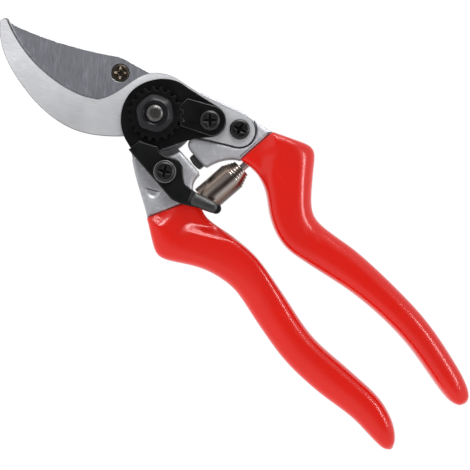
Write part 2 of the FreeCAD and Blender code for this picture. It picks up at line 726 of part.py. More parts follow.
def make_thumb_catch():
    """Thumb catch: flat nose over the lock plate, stepped waist and a thicker thumb bar."""
    body = new_body("thumb_catch")
    plan = sketch_on(body, "CatchPlan", "Dims.catch_bottom")
    draw(
        plan,
        (-3.2, 15.2),
        ("line", (-3.2, 10.2)),
        ("curve", (-6.0, 8.7), (-9.0, 6.7)),
        ("curve", (-14.8, 5.8), (-17.0, 4.6), (-18.5, 4.5), (-20.5, 5.2)),
        ("curve", (-22.0, 6.4), (-25.0, 8.2)),
        ("curve", (-32.0, 6.5), (-37.5, 4.1)),
        ("arc", (-40.0, 4.4), (-39.0, 7.5)),
        ("curve", (-33.0, 11.2), (-27.5, 14.7), (-25.5, 15.3)),
    )
    pad(body, plan, "Dims.catch_thickness")
    bar = sketch_on(body, "CatchBar", "Dims.catch_bottom + Dims.catch_thickness")
    draw(
        bar,
        (-29.5, 7.4),
        ("line", (-32.0, 6.5)),
        ("curve", (-37.0, 4.6), (-38.6, 4.5)),
        ("arc", (-39.6, 5.3), (-38.9, 7.0)),
        ("curve", (-33.0, 10.9), (-29.5, 12.9)),
    )
    pad(body, bar, "Dims.catch_bar_rise")
    bore = sketch_on(body, "CatchPivotBore", "Dims.catch_bottom")
    draw_circle(bore, "Dims.catch_bush_radius + Dims.running_clearance", CATCH_PIVOT_AT)
    pocket(body, bore, "Dims.catch_thickness", upward=True)
    return body


def make_stop_cushion():
    """Rubber block that softens the closing stop, seated in a slot of the casting."""
    body = new_body("stop_cushion")
    plan = sketch_on(body, "CushionPlan", "Dims.cushion_bottom")
    draw(
        plan,
        (-24.2, -2.4),
        ("line", (-18.8, -2.4), (-18.8, 0.9)),
        ("arc", (-21.5, 1.45), (-24.2, 0.9)),
    )
    pad(body, plan, "Dims.cushion_height")
    return body


def make_turned_across(label, root_y, profile_steps):
    """A turned part whose axis runs across the tool, through the spring's centre."""
    body = new_body(label)
    profile = sketch_on(body, f"{label}Profile", role="XZ_Plane")
    draw(profile, *profile_steps)
    revolve(body, profile)
    toward = -1 if root_y > 0 else 1
    axis = Vector(0, toward, 0)
    place = Vector(SPRING_AT, root_y, value("spring_axis_height"))
    body.Placement = Placement(place, Rotation(Vector(0, 0, 1), axis))
    return body


def make_return_spring():
    """Outer shape of the volute spring: a sleeve that narrows towards the hook side."""
    wide = value("spring_radius")
    bore = value("spring_bore")
    length = SPRING_LEFT_END - SPRING_RIGHT_END
    return make_turned_across("return_spring", SPRING_LEFT_END, [
        (bore, 0),
        ("line", (wide, 0), (wide, length * 0.68), (wide - 0.7, length * 0.68)),
        ("line", (bore + 0.6, length), (bore, length)),
    ])


def make_stud(label, root_y, radius, length):
    """A plain stud with a chamfered nose that the spring's end sits on."""
    return make_turned_across(label, root_y, [
        (0, 0),
        ("line", (radius, 0), (radius, length - 0.4), (radius - 0.4, length), (0, length)),
    ])


# ---------------------------------------------------------------- assembly
def make_all():
    """Every sub-part of the closed tool, in place."""
    head, high = value("screw_head_radius"), value("screw_head_height")
    hook_top = value("hook_bottom") + value("hook_thickness")
    segment_top = value("nut_bottom") + value("segment_thickness")
    blade_low = value("blade_bottom")
    catch_top = (value("catch_bottom") + value("catch_thickness") + value("running_clearance")
                 + value("washer_thickness"))
    return [
        make_hook_handle_casting(),
        make_hook_handle_grip(),
        make_hook_blade(),
        make_pivot_bolt(),
        make_ring("pivot_washer", "Dims.bolt_head_height", "Dims.washer_thickness",
                  "Dims.bolt_head_radius + 1.0", "Dims.shank_radius + Dims.running_clearance"),
        make_lock_plate(),
        make_toothed_nut(),
        make_toothed_segment(),
        make_screw("segment_screw", SEGMENT_SCREW_AT, segment_top, 11.0, head, high, 50),
        make_screw("tang_screw", TANG_SCREW_AT, hook_top, 8.0, head, high, 20),
        make_stop_cushion(),
        make_stud("hook_side_spring_stud", -18.0, value("right_stud_radius"), 9.4),
        make_blade_handle_casting(),
        make_blade_handle_grip(),
        make_cutting_blade(),
        make_screw("blade_screw", BLADE_SCREW_AT, blade_low, 4.6,
                   value("blade_screw_radius") - 0.04, value("blade_thickness") + 0.2, 45),
        make_ring("pivot_bush", "Dims.casting_bottom",
                  "Dims.hook_bottom - Dims.casting_bottom - 0.1",
                  "Dims.bush_outer_radius", "Dims.shank_radius + Dims.running_clearance"),
        make_catch_bush(),
        make_catch_washer(),
        make_screw("catch_screw", CATCH_PIVOT_AT, catch_top, 10.0, head, high, 35),
        make_stud("blade_side_spring_stud", 16.0, value("left_stud_radius"), 12.5),
        make_return_spring(),
        make_thumb_catch(),
    ]


def check(bodies):
    """Stop if any object of the document failed or any sub-part has a bad shape."""
    failed = [o.Label for o in doc.Objects if {"Invalid", "Error"} & set(o.State)]
    bad = [b.Label for b in bodies
           if b.Shape.isNull() or not b.Shape.isValid() or len(b.Shape.Solids) != 1]
    if failed or bad:
        raise RuntimeError(f"failed objects {failed}, bad shapes {bad}")


parts = make_all()
doc.recompute()
check(parts)
os.makedirs("parts", exist_ok=True)
for part in parts:
    part.Shape.exportStep(f"parts/{part.Label}.step")
    print(f"{part.Label}: {part.Shape.Volume:.1f} mm3")
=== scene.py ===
"""Looks of the bypass pruning shears.

The blades, plates and small turned pieces are copies of their CAD nodes with rounded edges.
The castings, the thumb catch, the nut, the cross-head screws, the dipped grips and the volute
spring are built here as their own meshes in the place of their CAD nodes.
"""
import json
import math

import bmesh
import bpy
import numpy as np
from mathutils import Matrix, Vector


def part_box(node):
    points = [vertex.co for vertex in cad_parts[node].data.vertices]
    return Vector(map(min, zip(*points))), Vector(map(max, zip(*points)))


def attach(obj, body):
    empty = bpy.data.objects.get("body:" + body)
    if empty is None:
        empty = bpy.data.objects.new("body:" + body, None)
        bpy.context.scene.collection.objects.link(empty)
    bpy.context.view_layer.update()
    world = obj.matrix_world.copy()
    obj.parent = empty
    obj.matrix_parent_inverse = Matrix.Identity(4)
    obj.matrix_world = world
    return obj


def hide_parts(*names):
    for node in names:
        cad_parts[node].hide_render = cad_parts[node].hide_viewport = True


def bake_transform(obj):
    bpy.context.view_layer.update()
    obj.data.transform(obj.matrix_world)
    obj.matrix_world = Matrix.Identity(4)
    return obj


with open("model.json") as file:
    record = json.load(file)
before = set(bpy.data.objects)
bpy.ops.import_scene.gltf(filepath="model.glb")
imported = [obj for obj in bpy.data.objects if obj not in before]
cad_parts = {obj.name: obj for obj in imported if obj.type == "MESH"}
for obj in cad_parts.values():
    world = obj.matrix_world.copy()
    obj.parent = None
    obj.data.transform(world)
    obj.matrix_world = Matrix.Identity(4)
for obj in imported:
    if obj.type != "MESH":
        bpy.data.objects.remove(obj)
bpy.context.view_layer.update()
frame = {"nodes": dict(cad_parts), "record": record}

MM = 0.001
# The tool lies across the frame of the view from above: that frame's right, up and lower left.
RIGHT = Vector((-0.656, -0.755, 0.0))
UP = Vector((0.755, -0.656, 0.0))
DOWN_LEFT = (-RIGHT - UP).normalized()
SPRING_START = Vector((-0.0336, 0.0070, 0.0078))
SPRING_END = Vector((-0.0336, -0.0110, 0.0078))
SPRING_HALF = 5.4 * MM
NODES = frame["nodes"]
BODY_OF = {n: body for body, names in frame["record"]["behaviour"]["bodies"].items() for n in names}
SLOT_OF = {part["node"]: part["material_slot"] for part in frame["record"]["subparts"]}


# ---------------------------------------------------------------- material helpers
def set_range(node, start, end, low, high):
    """Make a Map Range node turn start..end into low..high."""
    names = ("From Min", "From Max", "To Min", "To Max")
    for key, value in zip(names, (start, end, low, high)):
        node.inputs[key].default_value = value


class Shader:
    """A node material under construction, with short calls for the nodes used most."""

    def __init__(self, name):
        self.material = bpy.data.materials.new(name)
        self.material.use_nodes = True
        self.tree = self.material.node_tree
        self.bsdf = self.tree.nodes["Principled BSDF"]
        self.place = self.add("ShaderNodeTexCoord").outputs["Object"]

    def add(self, kind, **settings):
        """Add a node; each keyword sets the socket of that name, or else that setting."""
        node = self.tree.nodes.new(kind)
        for key, value in settings.items():
            if key in node.inputs:
                node.inputs[key].default_value = value
            else:
                setattr(node, key, value)
        return node

    def link(self, source, target):
        self.tree.links.new(source, target)

    def set(self, **values):
        """Set sockets of the surface shader; underscores stand for spaces."""
        for key, value in values.items():
            self.bsdf.inputs[key.replace("_", " ")].default_value = value
        return self

    def stretched(self, scale, turn=0):
        """Coordinates scaled per axis after a turn in degrees, for grain that runs one way."""
        mapping = self.add("ShaderNodeMapping", vector_type="TEXTURE")
        mapping.inputs["Rotation"].default_value = (0, 0, math.radians(turn))
        mapping.inputs["Scale"].default_value = [1 / s for s in scale]
        self.link(self.place, mapping.inputs["Vector"])
        return mapping.outputs["Vector"]

    def noise(self, scale, detail=3.0, roughness=0.5, distortion=0.0, vector=None):
        """Fractal noise from 0 to 1; scale is in details per metre."""
        node = self.add("ShaderNodeTexNoise", Scale=scale, Detail=detail, Roughness=roughness,
                        Distortion=distortion)
        self.link(vector or self.place, node.inputs["Vector"])
        return node.outputs["Fac"]

    def ramp(self, source, *stops):
        """A colour ramp; each stop is (position, colour or grey)."""
        node = self.add("ShaderNodeValToRGB")
        points = node.color_ramp.elements
        while len(points) < len(stops):
            points.new(0.5)
        for point, (position, colour) in zip(points, stops):
            point.position = position
            point.color = (*colour, 1) if isinstance(colour, tuple) else (colour, colour, colour, 1)
        self.link(source, node.inputs["Fac"])
        return node.outputs["Color"]

    def span(self, source, low, high, start=0.0, end=1.0):
        """Map a value from start..end to low..high."""
        node = self.add("ShaderNodeMapRange")
        set_range(node, start, end, low, high)
        self.link(source, node.inputs["Value"])
        return node.outputs["Result"]

    def mix(self, share, first, second):
        """Mix two colours; share and colours are sockets or plain values."""
        node = self.add("ShaderNodeMix", data_type="RGBA")
        for index, value in ((0, share), (6, first), (7, second)):
            if isinstance(value, bpy.types.NodeSocket):
                self.link(value, node.inputs[index])
            else:
                plain = (*value, 1) if isinstance(value, tuple) else value
                node.inputs[index].default_value = plain
        return node.outputs[2]

    def sum(self, first, second):
        """Add the values of two sockets."""
        node = self.add("ShaderNodeMath", operation="ADD")
        self.link(first, node.inputs[0])
        self.link(second, node.inputs[1])
        return node.outputs[0]

    def relief(self, *layers, rounding=0.0):
        """Stack bump layers, each (height socket, strength, distance in metres), on soft edges."""
        normal = None
        if rounding:
            normal = self.add("ShaderNodeBevel", samples=6, Radius=rounding * MM).outputs["Normal"]
        for height, strength, distance in layers:
            bump = self.add("ShaderNodeBump", Strength=strength, Distance=distance)
            self.link(height, bump.inputs["Height"])
            if normal:
                self.link(normal, bump.inputs["Normal"])
            normal = bump.outputs["Normal"]
        self.link(normal, self.bsdf.inputs["Normal"])

    def colour(self, socket):
        self.link(socket, self.bsdf.inputs["Base Color"])

    def gloss(self, socket):
        self.link(socket, self.bsdf.inputs["Roughness"])


# ---------------------------------------------------------------- materials
def metal(name, tones, roughness, grain, depth, patch=0.06, turn=0, metallic=1.0, rounding=0.0,
          shade_sweep=None):
    """Worked metal: a directional grain over broad, faint patches.

    tones are the dark and light ends of the colour, grain the detail per metre along
    each axis after a turn in degrees, depth the relief of the grain in millimetres, patch
    the strength of the patches and rounding the radius of soft edges in millimetres.
    The last argument, (direction, start, end, share), is painted shade: the tone is darkened
    by that share at the start and not at the end, as light falls off along that direction.
    """
    shader = Shader(name).set(Metallic=metallic)
    lines = shader.noise(1.0, 5.0, 0.65, 0.15, shader.stretched(grain, turn))
    patches = shader.noise(70, 3.0, 0.6, 0.4)
    scratches = shader.noise(1.0, 2.0, 0.5, 0.6, shader.stretched([g * 0.28 for g in grain], turn))
    tone = shader.ramp(lines, (0.28, tones[0]), (0.72, tones[1]))
    faded = shader.mix(shader.span(patches, 0.0, patch * 4, 0.35, 0.75), tone,
                       tuple(c * 0.72 for c in tones[0]))
    fine = shader.ramp(scratches, (0.60, 0.0), (0.66, 0.5), (0.70, 0.0))
    tone = shader.mix(fine, faded, tuple(min(c * 1.25, 1.0) for c in tones[1]))
    # Painted shade: the tone darkens along one direction, standing in for light falling off.
    if shade_sweep:
        direction, start, end, share = shade_sweep
        along = shader.add("ShaderNodeVectorMath", operation="DOT_PRODUCT")
        along.inputs[1].default_value = direction
        shader.link(shader.place, along.inputs[0])
        shaded_share = shader.span(along.outputs["Value"], share, 0.0, start, end)
        tone = shader.mix(shaded_share, tone, tuple(c * 0.55 for c in tones[0]))
    shader.colour(tone)
    low, high = roughness
    worn = shader.span(patches, low, high, 0.3, 0.7)
    shader.gloss(shader.sum(worn, shader.span(lines, -0.05, 0.05)))
    shader.relief((lines, 0.5, depth * MM), (patches, 0.25, depth * 3 * MM), rounding=rounding)
    return shader.material


def coated(name, colour, edge, roughness, pitting, coat=0.0, rounding=0.0, shine=0.35):
    """Black finish: fine pitted skin, handled to a faint shine in patches.

    colour and edge are its dark and light ends, pitting its detail per metre, rounding the
    radius of soft edges in millimetres and shine the strength of its reflection.
    """
    shader = Shader(name).set(Metallic=0.0, Coat_Weight=coat, Coat_Roughness=0.3,
                              Specular_IOR_Level=shine)
    skin = shader.noise(pitting, 4.0, 0.7)
    patches = shader.noise(110, 3.0, 0.55, 0.5)
    specks = shader.noise(pitting * 0.4, 2.0, 0.5, 0.3)
    tone = shader.mix(shader.span(patches, 0.0, 1.0, 0.35, 0.7), colour, edge)
    shader.colour(shader.mix(shader.ramp(specks, (0.68, 0.0), (0.76, 0.35)), tone,
                             tuple(c * 3.0 for c in edge)))
    low, high = roughness
    shader.gloss(shader.span(patches, low, high, 0.3, 0.7))
    shader.relief((skin, 0.35, 0.02 * MM), (patches, 0.2, 0.06 * MM), rounding=rounding)
    return shader.material


def dipped_vinyl():
    """Red vinyl: even, glossy, with a faint orange-peel skin and a few dull rubs."""
    shader = Shader("red_vinyl").set(IOR=1.45)
    clouds = shader.noise(38, 3.0, 0.5, 0.3)
    peel = shader.noise(420, 2.0, 0.45)
    rubs = shader.noise(1.0, 4.0, 0.6, 0.8, shader.stretched((60, 240, 240)))
    red = shader.mix(shader.span(clouds, 0.0, 1.0, 0.35, 0.65), (0.86, 0.0095, 0.0022),
                     (0.80, 0.0080, 0.0018))
    rubbed = shader.ramp(rubs, (0.64, 0.0), (0.78, 0.22))
    shader.colour(shader.mix(rubbed, red, (0.86, 0.028, 0.012)))
    shader.gloss(shader.sum(shader.span(clouds, 0.16, 0.24, 0.3, 0.7),
                            shader.ramp(rubs, (0.60, 0.0), (0.80, 0.18))))
    shader.relief((clouds, 0.25, 0.25 * MM), (peel, 0.22, 0.03 * MM))
    return shader.material


def spring_steel():
    """Polished spring strip: its light and dark lengthwise bands are painted reflections and shade.
    """
    shader = Shader("spring_steel").set(Metallic=1.0)
    lines = shader.noise(1.0, 4.0, 0.6, 0.0, shader.stretched((2400, 120, 2400)))
    bands = shader.noise(1.0, 2.0, 0.5, 0.1, shader.stretched((430, 16, 430)))
    aside = shader.add("ShaderNodeSeparateXYZ")
    shader.link(shader.place, aside.inputs["Vector"])
    # Painted reflections and shade: a fixed ramp of light and dark bands from one side of the
    # spring to the other, slightly wavy.
    across = shader.span(aside.outputs["X"], 0.0, 1.0, SPRING_START.x + SPRING_HALF,
                         SPRING_START.x - SPRING_HALF)
    band_place = shader.sum(across, shader.span(bands, -0.05, 0.05))
    tone = shader.ramp(band_place, (0.02, (0.08, 0.055, 0.045)), (0.16, (0.50, 0.42, 0.35)),
                       (0.30, (0.11, 0.070, 0.055)), (0.42, (0.70, 0.62, 0.56)),
                       (0.55, (0.16, 0.110, 0.095)), (0.66, (0.46, 0.42, 0.40)),
                       (0.80, (0.17, 0.115, 0.090)), (0.90, (0.045, 0.028, 0.022)))
    shader.colour(shader.mix(shader.span(lines, 0.0, 0.35), tone, (0.45, 0.37, 0.32)))
    shader.gloss(shader.span(lines, 0.18, 0.32, 0.3, 0.7))
    shader.relief((bands, 0.5, 0.08 * MM), (lines, 0.3, 0.008 * MM))
    return shader.material


def rubber():
    """Moulded black rubber with a dusty bloom."""
    shader = Shader("rubber").set(Sheen_Weight=0.15, Sheen_Roughness=0.5)
    bloom = shader.noise(260, 4.0, 0.6)
    grain = shader.noise(1900, 3.0, 0.6)
    shader.colour(shader.ramp(bloom, (0.3, (0.012, 0.012, 0.012)), (0.75, (0.028, 0.027, 0.026))))
    shader.gloss(shader.span(bloom, 0.5, 0.72, 0.3, 0.7))
    shader.relief((grain, 0.4, 0.03 * MM))
    return shader.material


MATERIALS = {
    "casting": metal("cast_alloy", ((0.430, 0.433, 0.458), (0.550, 0.553, 0.582)), (0.54, 0.64),
                     (900, 1500, 1500), 0.012, patch=0.05, turn=25, metallic=0.85, rounding=1.2),
    "grip": dipped_vinyl(),
    # The hook blade: painted shade darkens it towards its pivot, with none at its tip.
    "hook_steel": metal("hook_steel", ((0.750, 0.755, 0.785), (0.920, 0.925, 0.955)),
                        (0.46, 0.56), (420, 3000, 3000), 0.014, patch=0.03, turn=38,
                        metallic=0.65, shade_sweep=(UP, -2.3 * MM, 17.8 * MM, 0.60)),
    "blade_steel": metal("blade_steel", ((0.170, 0.175, 0.194), (0.290, 0.298, 0.328)),
                         (0.44, 0.54), (2800, 240, 2800), 0.012, patch=0.05, turn=47,
                         metallic=0.7),
    "black_steel": coated("black_steel", (0.0060, 0.0060, 0.0063), (0.0095, 0.0095, 0.0100),
                          (0.30, 0.42), 1900, rounding=0.5, shine=0.05),
    "plain_steel": metal("plain_steel", ((0.42, 0.42, 0.42), (0.60, 0.60, 0.60)), (0.30, 0.42),
                         (1500, 1500, 300), 0.01),
    "screw_steel": coated("screw_steel", (0.0055, 0.0055, 0.0062), (0.0110, 0.0110, 0.0120),
                          (0.20, 0.30), 2600, coat=0.2, rounding=0.8),
    "bronze_screw": metal("bronze_screw", ((0.035, 0.029, 0.024), (0.075, 0.062, 0.050)),
                          (0.30, 0.42), (1800, 1800, 1800), 0.012, patch=0.1),
    "bronze_bush": metal("bronze_bush", ((0.50, 0.31, 0.13), (0.66, 0.44, 0.20)), (0.25, 0.38),
                         (1500, 1500, 300), 0.01),
    "rubber": rubber(),
    "spring_steel": spring_steel(),
    "catch_black": coated("catch_black", (0.0022, 0.0024, 0.0024), (0.0042, 0.0046, 0.0046),
                          (0.28, 0.38), 1300, rounding=0.6, shine=0.32),
}
# Materials for a part of a piece, or for one piece of its slot.
BOLT_STEEL = metal("bolt_steel", ((0.070, 0.068, 0.066), (0.135, 0.130, 0.126)), (0.26, 0.38),
                   (1600, 1600, 1600), 0.02, patch=0.08, metallic=0.8, rounding=1.0)
# Painted shade and a painted highlight for the walls of the sunk half moon: a dark and a light copy
# of the cast alloy.
RECESS_SHADE = metal("recess_painted_shade", ((0.080, 0.080, 0.086), (0.130, 0.131, 0.140)), (0.50, 0.60),
                    (900, 1500, 1500), 0.012, patch=0.05)
RECESS_LIT = metal("recess_painted_highlight", ((0.740, 0.744, 0.770), (0.880, 0.884, 0.910)), (0.36, 0.46),
                    (900, 1500, 1500), 0.012, patch=0.05)
PALE_BRONZE = metal("pale_bronze", ((0.62, 0.54, 0.46), (0.84, 0.76, 0.67)), (0.28, 0.38),
                    (1800, 1800, 1800), 0.01)
HUB_BLACK = coated("hub_black", (0.0035, 0.0035, 0.0055), (0.0070, 0.0070, 0.0100),
                   (0.22, 0.32), 2200, rounding=0.3, shine=0.28)
# Painted sheen for the thumb bar: a lighter black standing in for its reflection.
THUMB_SHEEN = coated("thumb_painted_sheen", (0.020, 0.020, 0.021), (0.036, 0.036, 0.037),
                    (0.34, 0.44), 1300, rounding=0.3, shine=0.5)
# The rounded edges of these nodes: lighter on the segment and the cutting blade, painted highlights
# with some rubbed wear;
# dark on the hook blade, painted shade where it lies over the cutting blade.
EDGE_MATERIALS = {
    # Painted highlight, with some rubbed wear, on the segment's rounded edges.
    "toothed_segment": coated("black_steel_edge", (0.022, 0.022, 0.023), (0.042, 0.042, 0.044),
                              (0.28, 0.40), 1500, shine=0.5),
    # Painted shade along the hook blade's rounded edges and cutting edge.
    "hook_blade": metal("hook_edge_painted_shade", ((0.050, 0.050, 0.054), (0.085, 0.085, 0.090)),
                        (0.38, 0.48), (500, 900, 900), 0.006),
    # Painted highlight, with some rubbed wear, on the cutting blade's rounded edges.
    "cutting_blade": metal("blade_steel_edge", ((0.55, 0.55, 0.56), (0.78, 0.78, 0.79)),
                           (0.24, 0.34), (900, 500, 900), 0.006),
}


# ---------------------------------------------------------------- mesh helpers
def new_piece(name, mesh, like, material=None):
    """Show a mesh in place of a CAD node."""
    piece = bpy.data.objects.new(name, mesh)
    bpy.context.scene.collection.objects.link(piece)
    mesh.materials.clear()
    mesh.materials.append(material or MATERIALS[SLOT_OF[like]])
    for polygon in mesh.polygons:
        polygon.use_smooth = True
    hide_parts(like)
    return piece


def mesh_from(name, shape):
    """Mesh data made from a bmesh, which is freed."""
    mesh = bpy.data.meshes.new(name)
    shape.to_mesh(mesh)
    shape.free()
    return mesh


def bridge(shape, rings):
    """Join each ring of vertices to the next one with quads."""
    for first, second in zip(rings, rings[1:]):
        for i in range(len(first)):
            j = (i + 1) % len(first)
            shape.faces.new((first[i], first[j], second[j], second[i]))


def add_bevel(piece, name, width, segments, angle):
    """Round the edges of a piece that bend by more than an angle in degrees."""
    bevel = piece.modifiers.new(name, "BEVEL")
    bevel.width = width * MM
    bevel.segments = segments
    bevel.limit_method = "ANGLE"
    bevel.angle_limit = math.radians(angle)
    bevel.use_clamp_overlap = False
    return bevel


def smoothstep(value):
    """Ease from 0 to 1 as the value goes from 0 to 1."""
    value = min(max(value, 0.0), 1.0)
    return value * value * (3 - 2 * value)


# ---------------------------------------------------------------- refined copies of CAD nodes
def clean_copy(node):
    """A welded copy of a CAD node's mesh whose flat faces are whole again."""
    shape = bmesh.new()
    shape.from_mesh(NODES[node].data)
    bmesh.ops.remove_doubles(shape, verts=shape.verts, dist=2e-6)
    bmesh.ops.dissolve_limit(shape, angle_limit=math.radians(0.4), verts=shape.verts,
                             edges=shape.edges)
    return shape


def refined(node, width, segments, material=None):
    """A CAD node with its sharp edges rounded."""
    name = node + "_refined"
    piece = new_piece(name, mesh_from(name, clean_copy(node)), node, material)
    bevel = add_bevel(piece, "rounded_edges", width, segments, 32)
    bevel.miter_outer = "MITER_ARC"
    if node in EDGE_MATERIALS:
        piece.data.materials.append(EDGE_MATERIALS[node])
        bevel.material = 1
    if node == "hook_blade":
        # The slanted faces of its cutting edge share the painted shade of the rounded edges.
        for polygon in piece.data.polygons:
            polygon.material_index = int(0.2 < polygon.normal.z < 0.95)
    normals = piece.modifiers.new("flat_faces", "WEIGHTED_NORMAL")
    normals.keep_sharp = False
    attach(piece, BODY_OF[node])


# Width of the rounded edges in millimetres and their segments.
ROUNDINGS = {
    "hook_blade": (0.15, 2), "cutting_blade": (0.08, 2), "lock_plate": (0.2, 2),
    "toothed_segment": (0.24, 2), "pivot_washer": (0.08, 2),
    "pivot_bush": (0.1, 2), "catch_bush": (0.1, 2), "catch_washer": (0.06, 2),
    "stop_cushion": (0.4, 3), "hook_side_spring_stud": (0.1, 2),
    "blade_side_spring_stud": (0.1, 2),
}
for name, (width, segments) in ROUNDINGS.items():
    refined(name, width, segments)
refined("pivot_bolt", 0.3, 4, BOLT_STEEL)


# ---------------------------------------------------------------- slabs cut from CAD outlines
def outlines(node, height):
    """Ordered loops of a CAD node's section, each row x, y and how deep that wall reaches."""
    mesh = NODES[node].data
    links = {}
    for polygon in mesh.polygons:
        points = [mesh.vertices[i].co for i in polygon.vertices]
        cross = []
        for a, b in zip(points, points[1:] + points[:1]):
            if (a.z > height) != (b.z > height):
                at = a.lerp(b, (height - a.z) / (b.z - a.z))
                cross.append((a.z > height, (round(at.x, 7), round(at.y, 7))))
        if len(cross) == 2 and cross[0][1] != cross[1][1]:
            first, second = (c[1] for c in sorted(cross))
            links[first] = (second, min(p.z for p in points))
    loops = []
    while links:
        here, loop = next(iter(links)), []
        while here in links:
            after, deep = links.pop(here)
            loop.append((*here, deep))
            here = after
        loops.append(thinned(np.array(loop)))
    return sorted((loop for loop in loops if len(loop) > 5 and abs(area(loop)) > 1e-7),
                  key=lambda loop: -abs(area(loop)))


def area(loop):
    """Area inside a loop, negative when it runs clockwise."""
    x, y = loop[:, 0], loop[:, 1]
    return 0.5 * np.sum(x * np.roll(y, -1) - np.roll(x, -1) * y)


def thinned(loop):
    """Drop points that lie on a straight run or closer than a tenth of a millimetre."""
    kept = []
    for i, row in enumerate(loop):
        before = kept[-1] if kept else loop[i - 1]
        after = loop[(i + 1) % len(loop)]
        first, second = row[:2] - before[:2], after[:2] - row[:2]
        lengths = np.linalg.norm(first) * np.linalg.norm(second) + 1e-18
        bend = abs(first[0] * second[1] - first[1] * second[0]) / lengths
        if np.linalg.norm(first) > 0.1 * MM and (bend > 0.004 or first @ second < 0):
            kept.append(row)
    return np.array(kept)


def inset(loop, distances):
    """Move every side of a loop into the material by its own distance."""
    sides = np.roll(loop[:, :2], -1, axis=0) - loop[:, :2]
    sides /= np.linalg.norm(sides, axis=1)[:, None]
    turn = 1 if area(loop) > 0 else -1
    turn *= 1 if loop[0, 3] > 0 else -1
    normals = np.stack([-sides[:, 1], sides[:, 0]], axis=1) * turn
    moved = []
    for i, point in enumerate(loop[:, :2]):
        n1, n2, d1, d2 = normals[i - 1], normals[i], distances[i - 1], distances[i]
        det = n1[0] * n2[1] - n1[1] * n2[0]
        if abs(det) > 0.3:
            step = np.array([d1 * n2[1] - d2 * n1[1], d2 * n1[0] - d1 * n2[0]]) / det
        else:
            middle = (n1 + n2) / np.linalg.norm(n1 + n2)
            step = middle * (d1 + d2) / 2 / max(middle @ n1, 0.5)
        limit = 1.6 * max(d1, d2)
        size = np.linalg.norm(step)
        moved.append(point + step * (min(1.0, limit / size) if size > 0 else 0))
    return np.array(moved)


# How far a rim is rounded where its wall stays crisp.
CRISP_RIM = 0.12 * MM


def slab(shape, loops, low, high, top=0.0, bottom=0.0, sharp=None, steps=5, recess=None):
    """Add a closed plate with quarter-round rims; sharp tells which walls keep a crisp rim.

    The first loop is the outside and the others are holes. A recess is (rim, floor, depth),
    where rim and floor are outlines with the same number of points.
    """
    quarter = [math.pi / 2 * i / steps for i in range(steps + 1)]
    levels = []
    if bottom:
        levels += [(low + bottom * (1 - math.sin(a)), 1 - math.cos(a), bottom)
                   for a in quarter[:0:-1]]
    levels.append((low + bottom, 0.0, 0.0))
    levels.append((high - top, 0.0, 0.0))
    if top:
        levels += [(high - top * (1 - math.sin(a)), 1 - math.cos(a), top) for a in quarter[1:]]
    lids = {0: [], len(levels) - 1: []}
    for number, loop in enumerate(loops):
        hole = np.full((len(loop), 1), 1.0 if number == 0 else -1.0)
        loop = np.hstack([loop[:, :3], hole])
        crisp = np.array([number > 0 or bool(sharp and sharp(row)) for row in loop])
        before = None
        for index, (z, share, radius) in enumerate(levels):
            rim = np.where(crisp, min(radius, CRISP_RIM), radius) * share
            ring = [shape.verts.new((x, y, z)) for x, y in inset(loop, rim)]
            if before:
                bridge(shape, (before, ring))
            if index in lids:
                for i in range(len(ring)):
                    pair = (ring[i], ring[(i + 1) % len(ring)])
                    lids[index].append(shape.edges.get(pair) or shape.edges.new(pair))
            before = ring
    if recess:
        rim, floor, depth = recess
        rims = [[shape.verts.new((x, y, z)) for x, y in points]
                for points, z in ((rim, high), (floor, high - depth))]
        bridge(shape, rims)
        lids[len(levels) - 1] += [shape.edges.get((rims[0][i - 1], rims[0][i]))
                                  for i in range(len(rim))]
        shape.faces.new(rims[1])
    for edges in lids.values():
        bmesh.ops.triangle_fill(shape, edges=edges, use_beauty=True)


def drawn_in(outline, anchor, share):
    """The outline with every point moved towards an anchor, to a share of its distance."""
    anchor = np.array(anchor)
    return anchor + (np.array(outline) - anchor) * share


def finish_slabs(node, shape, crease=38):
    """Turn the plates of one node into its visible piece."""
    bmesh.ops.recalc_face_normals(shape, faces=shape.faces)
    mesh = mesh_from(node + "_shape", shape)
    piece = new_piece(node + "_shape", mesh, node)
    mesh.set_sharp_from_angle(angle=math.radians(crease))
    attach(piece, BODY_OF[node])
    return piece


# ---------------------------------------------------------------- castings
RIM = 1.2 * MM
FOOT = 1.8 * MM
FOOT_RIM = 0.8 * MM
# The half moon sunk in the blade handle, in millimetres, and the point that its walls slope to.
HALF_MOON = [(-16.4, 19.6), (-17.4, 20.2), (-18.6, 20.6), (-19.8, 20.7), (-20.8, 20.4),
             (-21.7, 19.7), (-22.2, 18.7), (-22.1, 17.6), (-21.4, 16.5)]
MOON_FOOT = (-19.5, 18.6)
MOON_DEPTH = 0.7 * MM
MOON_FLOOR = 0.55
MOON_REACH = 3.5 * MM


def make_casting(node, step, core_top, recess=None, sharp=None):
    """A cast half: flat plates at four heights with a broad soft rim on top."""
    low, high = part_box(node)[0].z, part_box(node)[1].z
    core = low + FOOT
    shape = bmesh.new()
    slab(shape, outlines(node, low + FOOT / 2), low, core, bottom=FOOT_RIM)
    slab(shape, outlines(node, (core + step) / 2), core, step)
    if core_top > step:
        slab(shape, outlines(node, (step + core_top) / 2), step, core_top)
    slab(shape, outlines(node, high - RIM - 0.15 * MM), core_top, high, top=RIM, sharp=sharp,
         recess=recess)
    return finish_slabs(node, shape)


def make_castings():
    """The blade's half with its half moon, and the hook's half with a crisp seat for the tang."""
    blade_low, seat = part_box("cutting_blade")[0].z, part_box("hook_blade")[0].z
    rim = np.array(HALF_MOON) * MM
    floor = drawn_in(rim, np.array(MOON_FOOT) * MM, MOON_FLOOR)
    casting = make_casting("blade_handle_casting", blade_low, seat + 0.1 * MM,
                           recess=(rim, floor, MOON_DEPTH))
    paint_moon(casting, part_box("blade_handle_casting")[1].z)
    make_casting("hook_handle_casting", seat, seat,
                 sharp=lambda row: abs(row[2] - seat) < 0.02 * MM)


